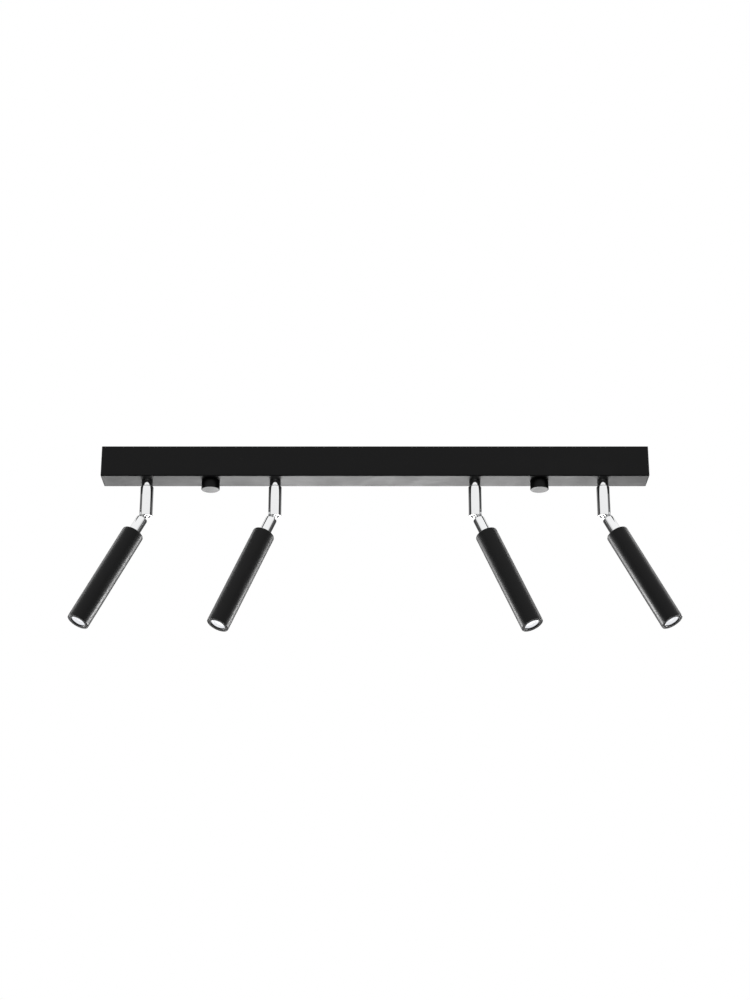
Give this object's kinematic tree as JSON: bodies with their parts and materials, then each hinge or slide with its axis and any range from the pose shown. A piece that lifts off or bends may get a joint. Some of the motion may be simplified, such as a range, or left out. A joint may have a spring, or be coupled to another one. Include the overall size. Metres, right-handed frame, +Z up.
{
  "type": "ceiling bar spotlight",
  "caption": "black ceiling bar light with chrome swivels, each carrying a slim black tube spotlight that turns and tilts",
  "frame": {"origin": "the middle of the ceiling face, on the top of the ceiling bracket; the whole fixture hangs below it", "axes": "+X along the bar to the right as seen from the front, +Y to the back, away from the viewer, +Z up into the ceiling"},
  "size_m": [0.5944, 0.0545, 0.1961],
  "materials": {
    "black_paint": "satin black powder coat",
    "polished_chrome": "polished",
    "zinc_steel": "zinc plated",
    "brass": "turned",
    "aluminium": "extruded",
    "white_nylon": "moulded",
    "grey_plastic": "moulded",
    "board_white": "white solder mask on a metal core",
    "lamp_yellow": "phosphor coated",
    "lens": "clear acrylic optic"
  },
  "bodies": {
    "fixture": {"canopy_shell": "black_paint", "cap_nut_left": "black_paint", "cap_nut_right": "black_paint", "ceiling_bracket": "zinc_steel", "earth_screw": "brass", "led_driver": "white_nylon", "lock_nut_inner_left": "zinc_steel", "lock_nut_inner_right": "zinc_steel", "lock_nut_outer_left": "zinc_steel", "lock_nut_outer_right": "zinc_steel", "neck_inner_left": "polished_chrome", "neck_inner_right": "polished_chrome", "neck_outer_left": "polished_chrome", "neck_outer_right": "polished_chrome", "retaining_ring_inner_left": "brass", "retaining_ring_inner_right": "brass", "retaining_ring_outer_left": "brass", "retaining_ring_outer_right": "brass", "stud_left": "zinc_steel", "stud_nut_left": "zinc_steel", "stud_nut_right": "zinc_steel", "stud_right": "zinc_steel", "terminal_block": "grey_plastic"},
    "swivel_outer_left": {"sleeve_outer_left": "polished_chrome", "ball_seat_outer_left": "white_nylon"},
    "head_outer_left": {"ball_stem_outer_left": "polished_chrome", "front_ring_outer_left": "black_paint", "head_tube_outer_left": "black_paint", "heat_sink_outer_left": "aluminium", "led_board_outer_left": "board_white", "led_chip_outer_left": "lamp_yellow", "lens_outer_left": "lens"},
    "swivel_inner_left": {"sleeve_inner_left": "polished_chrome", "ball_seat_inner_left": "white_nylon"},
    "head_inner_left": {"ball_stem_inner_left": "polished_chrome", "front_ring_inner_left": "black_paint", "head_tube_inner_left": "black_paint", "heat_sink_inner_left": "aluminium", "led_board_inner_left": "board_white", "led_chip_inner_left": "lamp_yellow", "lens_inner_left": "lens"},
    "swivel_inner_right": {"sleeve_inner_right": "polished_chrome", "ball_seat_inner_right": "white_nylon"},
    "head_inner_right": {"ball_stem_inner_right": "polished_chrome", "front_ring_inner_right": "black_paint", "head_tube_inner_right": "black_paint", "heat_sink_inner_right": "aluminium", "led_board_inner_right": "board_white", "led_chip_inner_right": "lamp_yellow", "lens_inner_right": "lens"},
    "swivel_outer_right": {"sleeve_outer_right": "polished_chrome", "ball_seat_outer_right": "white_nylon"},
    "head_outer_right": {"ball_stem_outer_right": "polished_chrome", "front_ring_outer_right": "black_paint", "head_tube_outer_right": "black_paint", "heat_sink_outer_right": "aluminium", "led_board_outer_right": "board_white", "led_chip_outer_right": "lamp_yellow", "lens_outer_right": "lens"}
  },
  "joints": [
    {"name": "pan_outer_left", "type": "hinge", "parent": "fixture", "child": "swivel_outer_left", "pos_m": [-0.2295, 0, -0.0384], "axis": [0, 0, 1], "range_deg": [-176.4, 123.6]},
    {"name": "tilt_outer_left", "type": "hinge", "parent": "swivel_outer_left", "child": "head_outer_left", "pos_m": [-0.2295, 0, -0.0656], "axis": [-0.4446, 0.8957, 0], "range_deg": [-27.6, 62.4]},
    {"name": "pan_inner_left", "type": "hinge", "parent": "fixture", "child": "swivel_inner_left", "pos_m": [-0.1005, 0, -0.0384], "axis": [0, 0, 1], "range_deg": [-178.1, 121.9]},
    {"name": "tilt_inner_left", "type": "hinge", "parent": "swivel_inner_left", "child": "head_inner_left", "pos_m": [-0.1005, 0, -0.0656], "axis": [-0.471, 0.8821, 0], "range_deg": [-24.9, 65.1]},
    {"name": "pan_inner_right", "type": "hinge", "parent": "fixture", "child": "swivel_inner_right", "pos_m": [0.1005, 0, -0.0384], "axis": [0, 0, 1], "range_deg": [-121.9, 178.1]},
    {"name": "tilt_inner_right", "type": "hinge", "parent": "swivel_inner_right", "child": "head_inner_right", "pos_m": [0.1005, 0, -0.0656], "axis": [-0.471, -0.8821, 0], "range_deg": [-24.9, 65.1]},
    {"name": "pan_outer_right", "type": "hinge", "parent": "fixture", "child": "swivel_outer_right", "pos_m": [0.2295, 0, -0.0384], "axis": [0, 0, 1], "range_deg": [-123.6, 176.4]},
    {"name": "tilt_outer_right", "type": "hinge", "parent": "swivel_outer_right", "child": "head_outer_right", "pos_m": [0.2295, 0, -0.0656], "axis": [-0.4446, -0.8957, 0], "range_deg": [-27.6, 62.4]}
  ]
}
